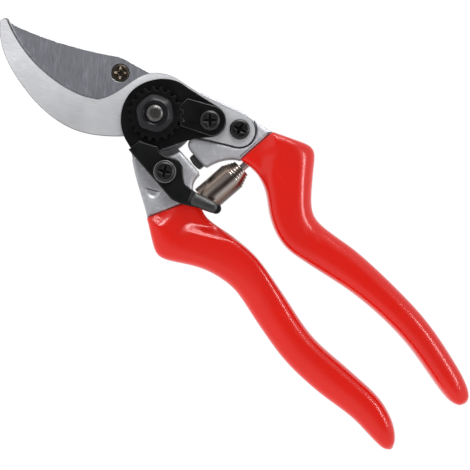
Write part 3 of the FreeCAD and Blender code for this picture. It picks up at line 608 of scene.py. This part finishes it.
def paint_moon(casting, high):
    """The sunk half moon: painted shade on its walls that face away from the frame's up, as on its
    straight side, and a painted highlight on those around it that face up.
    """
    casting.data.materials.append(RECESS_SHADE)
    casting.data.materials.append(RECESS_LIT)
    foot = Vector(MOON_FOOT) * MM
    for polygon in casting.data.polygons:
        near = (polygon.center.to_2d() - foot).length < MOON_REACH
        sunk = high - 0.95 * MOON_DEPTH < polygon.center.z < high - 0.05 * MM
        if near and sunk:
            # Walls facing the frame's up take the painted highlight, the others the painted shade.
            polygon.material_index = 2 if polygon.normal.dot(UP) > 0 else 1


# ---------------------------------------------------------------- thumb catch
CATCH_PLATE = 2.3 * MM
# The thumb bar: its two ends, and its half widths there.
BAR_START, BAR_END = Vector((-0.0292, 0.0102)), Vector((-0.0396, 0.0053))
BAR_HALVES = (2.6 * MM, 1.85 * MM)
BAR_STEPS = 18
BAR_AROUND = 24


def thumb_bar(shape, low, high):
    """Rings of a bar that rises out of the plate and is rounded off at its far end."""
    along = (BAR_END - BAR_START).normalized()
    side = Vector((-along.y, along.x))
    foot, root = low + 0.4 * MM, low + 1.3 * MM
    rings = []
    for i in range(BAR_STEPS + 1):
        share = i / BAR_STEPS
        cap = math.sqrt(max(0.0, 1 - max(0.0, (share - 0.80) / 0.20) ** 2))
        rise = math.sqrt(smoothstep(share / 0.22) * 0.97 + 0.03)
        half = (BAR_HALVES[0] + (BAR_HALVES[1] - BAR_HALVES[0]) * share) * max(cap, 0.03)
        middle = BAR_START.lerp(BAR_END, share)
        crest = foot + (high - foot) * rise * max(cap, 0.2)
        ring = []
        for k in range(BAR_AROUND):
            turn = 2 * math.pi * k / BAR_AROUND
            swell = crest - root if math.sin(turn) > 0 else 1.0 * MM * max(cap, 0.2)
            spot = middle + side * half * math.cos(turn)
            ring.append(shape.verts.new((spot.x, spot.y, root + swell * math.sin(turn))))
        rings.append(ring)
    return rings


def make_catch():
    """Thumb catch: flat plate with soft rims and a rounded thumb bar along its end."""
    low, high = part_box("thumb_catch")[0].z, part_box("thumb_catch")[1].z
    shape = bmesh.new()
    slab(shape, outlines("thumb_catch", low + 1.1 * MM), low, low + CATCH_PLATE, top=0.5 * MM,
         bottom=0.3 * MM)
    plate_faces = len(shape.faces)
    rings = thumb_bar(shape, low, high)
    bridge(shape, rings)
    shape.faces.new(rings[0][::-1])
    shape.faces.new(rings[-1])
    catch = finish_slabs("thumb_catch", shape, 50)
    # The thumb bar takes the lighter black of the painted sheen.
    catch.data.materials.append(THUMB_SHEEN)
    for polygon in catch.data.polygons:
        polygon.material_index = int(polygon.index >= plate_faces)


# ---------------------------------------------------------------- adjusting nut
NUT_DISC = 2.4 * MM
NUT_AROUND = 96
# Half of the hub's hexagon across its flats and across its rounded corners, in millimetres.
FLATS, CORNERS = 6.4, 6.95
CORNER_POWER = 24
# The hub from its foot over its cone and down its bore: height above the disc and half of the
# flats, both in millimetres, then the share of roundness.
HUB_PROFILE = [(-0.1, FLATS, 0.3), (0.9, FLATS, 0.3), (1.25, FLATS - 0.06, 0.33),
               (1.5, FLATS - 0.28, 0.45), (2.1, 5.6, 0.75), (2.6, 5.0, 0.95), (2.85, 4.68, 1.0),
               (2.97, 4.48, 1.0), (3.0, 4.3, 1.0), (2.94, 4.16, 1.0), (2.6, 4.08, 1.0),
               (2.46, 3.95, 1.0), (2.42, 3.4, 1.0), (2.38, 3.16, 1.0), (-0.1, 3.16, 1.0)]


def hub_reach(turn, flats, roundness):
    """How far the hub reaches in one direction: a hexagon with cut corners, or rounder."""
    lean = (turn + math.pi / 6) % (math.pi / 3) - math.pi / 6
    corners = flats * CORNERS / FLATS
    hexagon = ((flats / math.cos(lean)) ** -CORNER_POWER
               + corners ** -CORNER_POWER) ** (-1 / CORNER_POWER)
    return (hexagon + (flats - hexagon) * roundness) * MM


def make_nut():
    """Adjusting nut: toothed disc, six-sided hub and a cone up to its round recessed top."""
    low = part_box("toothed_nut")[0].z
    disc_top = low + NUT_DISC
    shape = bmesh.new()
    slab(shape, outlines("toothed_nut", low + NUT_DISC / 2), low, disc_top, top=0.3 * MM, steps=3)
    rings = []
    for height, flats, roundness in HUB_PROFILE:
        ring = []
        for k in range(NUT_AROUND):
            turn = 2 * math.pi * k / NUT_AROUND
            reach = hub_reach(turn, flats, roundness)
            ring.append(shape.verts.new((reach * math.cos(turn), reach * math.sin(turn),
                                         disc_top + height * MM)))
        rings.append(ring)
    bridge(shape, rings + rings[:1])
    nut = finish_slabs("toothed_nut", shape, 60)
    nut.data.materials.append(HUB_BLACK)
    for polygon in nut.data.polygons:
        reach = Vector(polygon.center[:2]).length
        polygon.material_index = int(polygon.center.z > disc_top + 0.05 * MM and reach > 3.0 * MM)


# ---------------------------------------------------------------- cross-head screws
# Each cross-head screw: height of its head, turn of its cross in degrees.
SCREWS = {"segment_screw": (2.0, 50), "tang_screw": (2.0, 20), "catch_screw": (2.0, 35),
          "blade_screw": (2.9, 45)}
# One arm of a cross: how far out and how far aside, in shares of the head's radius.
CROSS_ARM = ((0.17, -0.17), (0.40, -0.145), (0.62, -0.10), (0.68, 0.0), (0.62, 0.10),
             (0.40, 0.145))
CROSS_DEPTH = 1.1 * MM
CROSS_FLOOR = 0.55


def cross_outline(centre, radius, turn):
    """The cross in a screw's head, turned by an angle in degrees."""
    points = []
    for arm in range(4):
        angle = math.radians(turn + 90 * arm)
        out = Vector((math.cos(angle), math.sin(angle)))
        aside = Vector((-out.y, out.x))
        points += [centre.to_2d() + radius * (out * far + aside * off) for far, off in CROSS_ARM]
    return points


def circle(centre, radius, deep):
    """A round outline for a slab, with how deep its wall reaches."""
    turns = [math.radians(a) for a in range(0, 360, 5)]
    return np.array([(centre.x + radius * math.cos(a), centre.y + radius * math.sin(a), deep)
                     for a in turns])


def make_screw(node, head, turn):
    """Cross-head screw: a pan head with a soft rim and a deep cross on a round shank."""
    low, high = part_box(node)
    centre, radius = (low + high) / 2, (high.x - low.x) / 2
    neck = high.z - head * MM
    cross = cross_outline(centre, radius, turn)
    recess = (cross, drawn_in(cross, centre[:2], CROSS_FLOOR), CROSS_DEPTH)
    shape = bmesh.new()
    slab(shape, [circle(centre, radius, neck)], neck, high.z, top=0.30 * radius, steps=7,
         recess=recess)
    slab(shape, [circle(centre, 0.45 * radius, low.z)], low.z, neck + 0.1 * MM)
    screw = finish_slabs(node, shape, 40)
    # The sunk faces of the cross take a dull black, painted shade in the recess; on the bronze
    # screw only its slanted walls change, to a pale bronze.
    bronze = node == "blade_screw"
    screw.data.materials.append(PALE_BRONZE if bronze else MATERIALS["black_steel"])
    for polygon in screw.data.polygons:
        aside = (polygon.center - centre).to_2d().length
        sunk = high.z - CROSS_DEPTH - 0.05 * MM < polygon.center.z < high.z - 0.05 * MM
        slanted = not bronze or polygon.normal.z < 0.9
        polygon.material_index = int(sunk and aside < 0.69 * radius and slanted)


make_castings()
make_catch()
make_nut()
for node, (head, turn) in SCREWS.items():
    make_screw(node, head, turn)


# ---------------------------------------------------------------- dipped grips
GRIP_AROUND = 72
GRIP_STEP = 1.0 * MM
GRIP_TIP = 8.0 * MM
TIP_RINGS = 14
COAT = 0.45 * MM
# How square a section is: 2 is an ellipse. Over the casting it is squarer than in the hand.
CASTING_SQUARE, HAND_SQUARE = 7.0, 3.0
RAMP_RUN = 3.6 * MM
SHOULDER = 1.8 * MM
SHOULDER_RUN = 22 * MM
PALM_SLOPE = math.tan(math.radians(13))
FINGER_SLOPE = math.tan(math.radians(3))
# The line across each grip where its thick part begins, outer end first, and its palm side.
GRIPS = {
    "blade_handle_grip": {"ramp": ((-0.0283, 0.0262), (-0.0486, 0.0109)), "palm": 1,
                          "casting": "blade_handle_casting"},
    "hook_handle_grip": {"ramp": ((-0.0332, -0.0270), (-0.0435, -0.0150)), "palm": -1,
                         "casting": "hook_handle_casting"},
}


def front_of(node):
    """A point and the outward normal of the flat end nearest the pivot."""
    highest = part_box(node)[1].x
    ends = [p for p in NODES[node].data.polygons
            if abs(p.normal.z) < 0.01 and p.normal.x > 0.8 and p.center.x > highest - 0.012]
    biggest = max(ends, key=lambda p: p.area)
    return biggest.center.copy(), biggest.normal.copy()


def grip_edges(node, stations):
    """Low and high y, then low and high z, of a CAD grip's section at each station."""
    mesh = NODES[node].data
    points = np.array([v.co for v in mesh.vertices])
    ends = points[np.array([e.vertices for e in mesh.edges])]
    rows = []
    for x in stations:
        ahead = ends[:, :, 0] > x
        crossing = ends[ahead[:, 0] != ahead[:, 1]]
        share = (x - crossing[:, 0, 0]) / (crossing[:, 1, 0] - crossing[:, 0, 0])
        section = crossing[:, 0] + (crossing[:, 1] - crossing[:, 0]) * share[:, None]
        low, high = section.min(axis=0), section.max(axis=0)
        rows.append((low[1], high[1], low[2], high[2]))
    return np.array(rows)


def smoothed(rows, keep):
    """Gentle averaging along the grip that leaves the last few rows as they are."""
    padded = np.vstack([rows[:1] * 2 - rows[3:0:-1], rows, rows[-1:].repeat(3, axis=0)])
    weights = np.array([1, 6, 15, 20, 15, 6, 1]) / 64
    blurred = sum(w * padded[i:i + len(rows)] for i, w in enumerate(weights))
    blurred[-keep:] = rows[-keep:]
    return blurred


def grip_stations(low, high):
    """Even places along the grip, then closer ones round its tip."""
    even = np.arange(high, low + GRIP_TIP, -GRIP_STEP)
    share = np.linspace(0.04, 1, TIP_RINGS)
    closing = low + GRIP_TIP * (1 - np.sin(share * math.pi / 2)) + 0.02 * MM
    return np.concatenate([even, closing[closing < even[-1] - 0.1 * MM]])


def ramped(share):
    """From 0 to 1 along a straight slope that is rounded where it starts and ends."""
    share, soft = min(max(share, 0.0), 1.0), 0.14
    if share > 0.5:
        return 1.0 - ramped(1.0 - share)
    return (share ** 2 / (2 * soft) if share < soft else share - soft / 2) / (1.0 - soft)


def grip_ring(x, row, shape, faces):
    """One ring of the grip: flat over the casting, a soft ridge along the hand."""
    near, far, lowest, highest = row
    centre, half, middle = (near + far) / 2, (far - near) / 2, (lowest + highest) / 2
    start, end = (Vector(point) for point in shape["ramp"])
    along = (end - start).normalized()
    across = Vector((along.y, -along.x))
    if across.x > 0:
        across.negate()
    ring = []
    for step in range(GRIP_AROUND):
        turn = 2 * math.pi * (step + 0.5) / GRIP_AROUND
        c, s = math.cos(turn), math.sin(turn)
        square = HAND_SQUARE
        # The squareness depends on the place and the place on the squareness: two rounds settle it.
        for _ in range(2):
            side = math.copysign(abs(c) ** (2 / square), c)
            y = centre + side * half
            past = (Vector((x, y)) - start).dot(across)
            thick = ramped(past / RAMP_RUN + 1.0)
            near_head = 1.0 - smoothstep(past / SHOULDER_RUN)
            softness = thick * (1.0 - 0.5 * near_head)
            square = CASTING_SQUARE - (CASTING_SQUARE - HAND_SQUARE) * softness
        palm = side * shape["palm"]
        slope = PALM_SLOPE if palm > -0.1 else FINGER_SLOPE
        drop = slope * half * math.sqrt((palm + 0.1) ** 2 + 0.01) * thick * (1.0 - near_head)
        top = faces["top"] + (highest + SHOULDER * near_head - faces["top"]) * thick - drop
        under = faces["bottom"] + (lowest - faces["bottom"]) * thick + drop
        lift = abs(s) ** (2 / square)
        z = middle + ((top - middle) if s > 0 else (under - middle)) * lift
        ring.append((x, y, z))
    return ring


def carried_on(rows, stations, uncut, normal):
    """Carry the edges straight on past the slanted cut, from the first uncut station."""
    side = 0 if normal.y < 0 else 1
    run = stations[uncut] - stations[uncut + 4]
    slope = (rows[uncut, side] - rows[uncut + 4, side]) / run
    for i in range(uncut):
        if abs(normal.y) > 0.01:
            rows[i, side] = rows[uncut, side] + slope * (stations[i] - stations[uncut])
        rows[i, 2:] = rows[uncut, 2:]


def make_grip(node):
    """Dipped vinyl skin: rings along the grip, closed at its tip and cut off flat in front."""
    shape = GRIPS[node]
    low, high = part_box(node)
    casting_low, casting_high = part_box(shape["casting"])
    faces = {"top": casting_high.z + COAT, "bottom": casting_low.z - COAT}
    stations = grip_stations(low.x, high.x)
    rows = grip_edges(node, stations[:-1] - 1e-6)
    front, normal = front_of(node)
    cut_length = abs(high.x - front.x) * 2.2 + 2 * MM
    uncut = next(i for i, x in enumerate(stations[:-1]) if x < high.x - cut_length)
    carried_on(rows, stations, uncut, normal)
    rows = smoothed(rows, 10)
    shell = bmesh.new()
    rings = [[shell.verts.new(point) for point in grip_ring(x, row, shape, faces)]
             for x, row in zip(stations[:-1], rows)]
    bridge(shell, rings)
    tip = shell.verts.new((low.x, (rows[-1, 0] + rows[-1, 1]) / 2, (rows[-1, 2] + rows[-1, 3]) / 2))
    for i in range(GRIP_AROUND):
        shell.faces.new((rings[-1][i], rings[-1][(i + 1) % GRIP_AROUND], tip))
    shell.faces.new(rings[0][::-1])
    whole = shell.verts[:] + shell.edges[:] + shell.faces[:]
    cut = bmesh.ops.bisect_plane(shell, geom=whole, plane_co=front, plane_no=normal,
                                 clear_outer=True)
    rim = [e for e in cut["geom_cut"] if isinstance(e, bmesh.types.BMEdge)]
    if rim:
        bmesh.ops.holes_fill(shell, edges=rim)
    bmesh.ops.recalc_face_normals(shell, faces=shell.faces)
    piece = new_piece(node + "_skin", mesh_from(node + "_skin", shell), node)
    add_bevel(piece, "rolled_front", 0.35, 3, 50)
    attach(piece, BODY_OF[node])


for name in GRIPS:
    make_grip(name)


# ---------------------------------------------------------------- volute spring
SPRING_TURNS = 5.0
SPRING_LEAD = math.radians(200)
SPRING_RADII = (5.38 * MM, 3.15 * MM)
STRIP_WIDTH = 13.0 * MM
STRIP_THICKNESS = 0.30 * MM
STRIP_STEPS = 64


def make_spring():
    """One polished strip wound inwards, each turn pushed further out towards the hook side."""
    axis = (SPRING_END - SPRING_START).normalized()
    length = (SPRING_END - SPRING_START).length
    across = Vector((0, 0, 1))
    beside = axis.cross(across)
    shift = length - STRIP_WIDTH
    # Profile of the strip: (share of its width, side of its thickness), edges rounded.
    stops = (0.012, 0.3, 0.5, 0.58, 0.66, 0.74, 0.82, 0.9, 0.95, 0.988)
    profile = ([(0.0, -0.3), (0.0, 0.3)] + [(s, 0.5) for s in stops]
               + [(1.0, 0.3), (1.0, -0.3)] + [(s, -0.5) for s in reversed(stops)])
    strip = bmesh.new()
    rows = []
    count = int(SPRING_TURNS * STRIP_STEPS)
    for step in range(count + 1):
        share = step / count
        turn = 2 * math.pi * SPRING_TURNS * share + SPRING_LEAD
        radius = SPRING_RADII[0] + (SPRING_RADII[1] - SPRING_RADII[0]) * share
        radius -= STRIP_THICKNESS / 2
        outward = across * math.cos(turn) + beside * math.sin(turn)
        row = []
        for place, side in profile:
            point = (SPRING_START + axis * (shift * share + STRIP_WIDTH * place)
                     + outward * (radius + STRIP_THICKNESS * side))
            row.append(strip.verts.new(point))
        rows.append(row)
    bridge(strip, rows)
    strip.faces.new(rows[0][::-1])
    strip.faces.new(rows[-1])
    bmesh.ops.recalc_face_normals(strip, faces=strip.faces)
    mesh = mesh_from("volute_spring", strip)
    piece = new_piece("volute_spring", mesh, "return_spring")
    mesh.set_sharp_from_angle(angle=math.radians(50))
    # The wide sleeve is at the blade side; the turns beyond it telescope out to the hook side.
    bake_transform(piece)


make_spring()


# ---------------------------------------------------------------- studio
OBJECT = Vector((-0.05, 0.0, 0.01))
# Each light: its place seen from the object, its size, its power and what it shows in.
LIGHTS = {
    "top_panel": (UP * 0.46 + RIGHT * 0.05 + Vector((0, 0, 0.42)), (0.22, 0.10), 1.3, "glossy"),
    "right_panel": (RIGHT * 0.46 + UP * 0.05 + Vector((0, 0, 0.31)), (0.32, 0.045), 1.0, "glossy"),
    "low_panel": (UP * 0.55 + RIGHT * 0.12 + Vector((0, 0, 0.20)), (0.50, 0.18), 2.7, "glossy"),
    "fill": (Vector((0, 0, 0.9)), (1.0, 1.0), 2.6, "diffuse"),
}


def floor():
    """A white floor that shines evenly and shows no shadow."""
    bpy.ops.mesh.primitive_plane_add(size=4, location=(0, 0, -0.0002))
    plane = bpy.context.object
    plane.name = "floor"
    white = Shader("white_floor").set(Roughness=1.0, Base_Color=(0.02, 0.02, 0.02, 1),
                                      Specular_IOR_Level=0.0, Emission_Color=(1, 1, 1, 1),
                                      Emission_Strength=1.0)
    plane.data.materials.append(white.material)


def sky():
    """White surroundings that are dark overhead, darkest towards the frame's upper right."""
    world = bpy.data.worlds.new("studio")
    world.use_nodes = True
    tree = world.node_tree
    background = tree.nodes["Background"]
    background.inputs["Color"].default_value = (1, 1, 1, 1)
    place = tree.nodes.new("ShaderNodeTexCoord").outputs["Generated"]
    side = tree.nodes.new("ShaderNodeVectorMath")
    side.operation = "DOT_PRODUCT"
    side.inputs[1].default_value = (DOWN_LEFT.x * 0.2, DOWN_LEFT.y * 0.2, -0.98)
    tree.links.new(place, side.inputs[0])
    span = tree.nodes.new("ShaderNodeMapRange")
    span.interpolation_type = "SMOOTHSTEP"
    set_range(span, -0.97, -0.60, 0.09, 0.95)
    tree.links.new(side.outputs["Value"], span.inputs["Value"])
    tree.links.new(span.outputs["Result"], background.inputs["Strength"])
    bpy.context.scene.world = world


def softbox(name, aside, size, power, shown_in):
    """A rectangular light aimed at the object, seen in gloss or lighting matt colour only."""
    light = bpy.data.lights.new(name, "AREA")
    light.shape = "RECTANGLE"
    light.size, light.size_y = size
    light.energy = power
    lamp = bpy.data.objects.new(name, light)
    lamp.visible_diffuse = shown_in == "diffuse"
    lamp.visible_glossy = shown_in == "glossy"
    bpy.context.scene.collection.objects.link(lamp)
    lamp.location = OBJECT + aside
    lamp.rotation_euler = (-aside).to_track_quat("-Z", "Y").to_euler()


def camera():
    """Straight down, with the tool lying across the frame."""
    lens, sensor, width = 98.0, 36.0, 0.1654
    distance = width * lens / sensor
    target = Vector((-0.0499, 0.0067, 0.012))
    data = bpy.data.cameras.new("camera")
    data.lens, data.sensor_width = lens, sensor
    data.clip_start = 0.01
    view = bpy.data.objects.new("camera", data)
    bpy.context.scene.collection.objects.link(view)
    turn = Matrix((RIGHT, UP, (0, 0, 1))).transposed().to_4x4()
    view.matrix_world = Matrix.Translation(target + Vector((0, 0, distance))) @ turn
    bpy.context.scene.camera = view


floor()
sky()
for name, (aside, size, power, shown_in) in LIGHTS.items():
    softbox(name, aside, size, power, shown_in)
camera()
bpy.context.scene.view_settings.view_transform = "Standard"
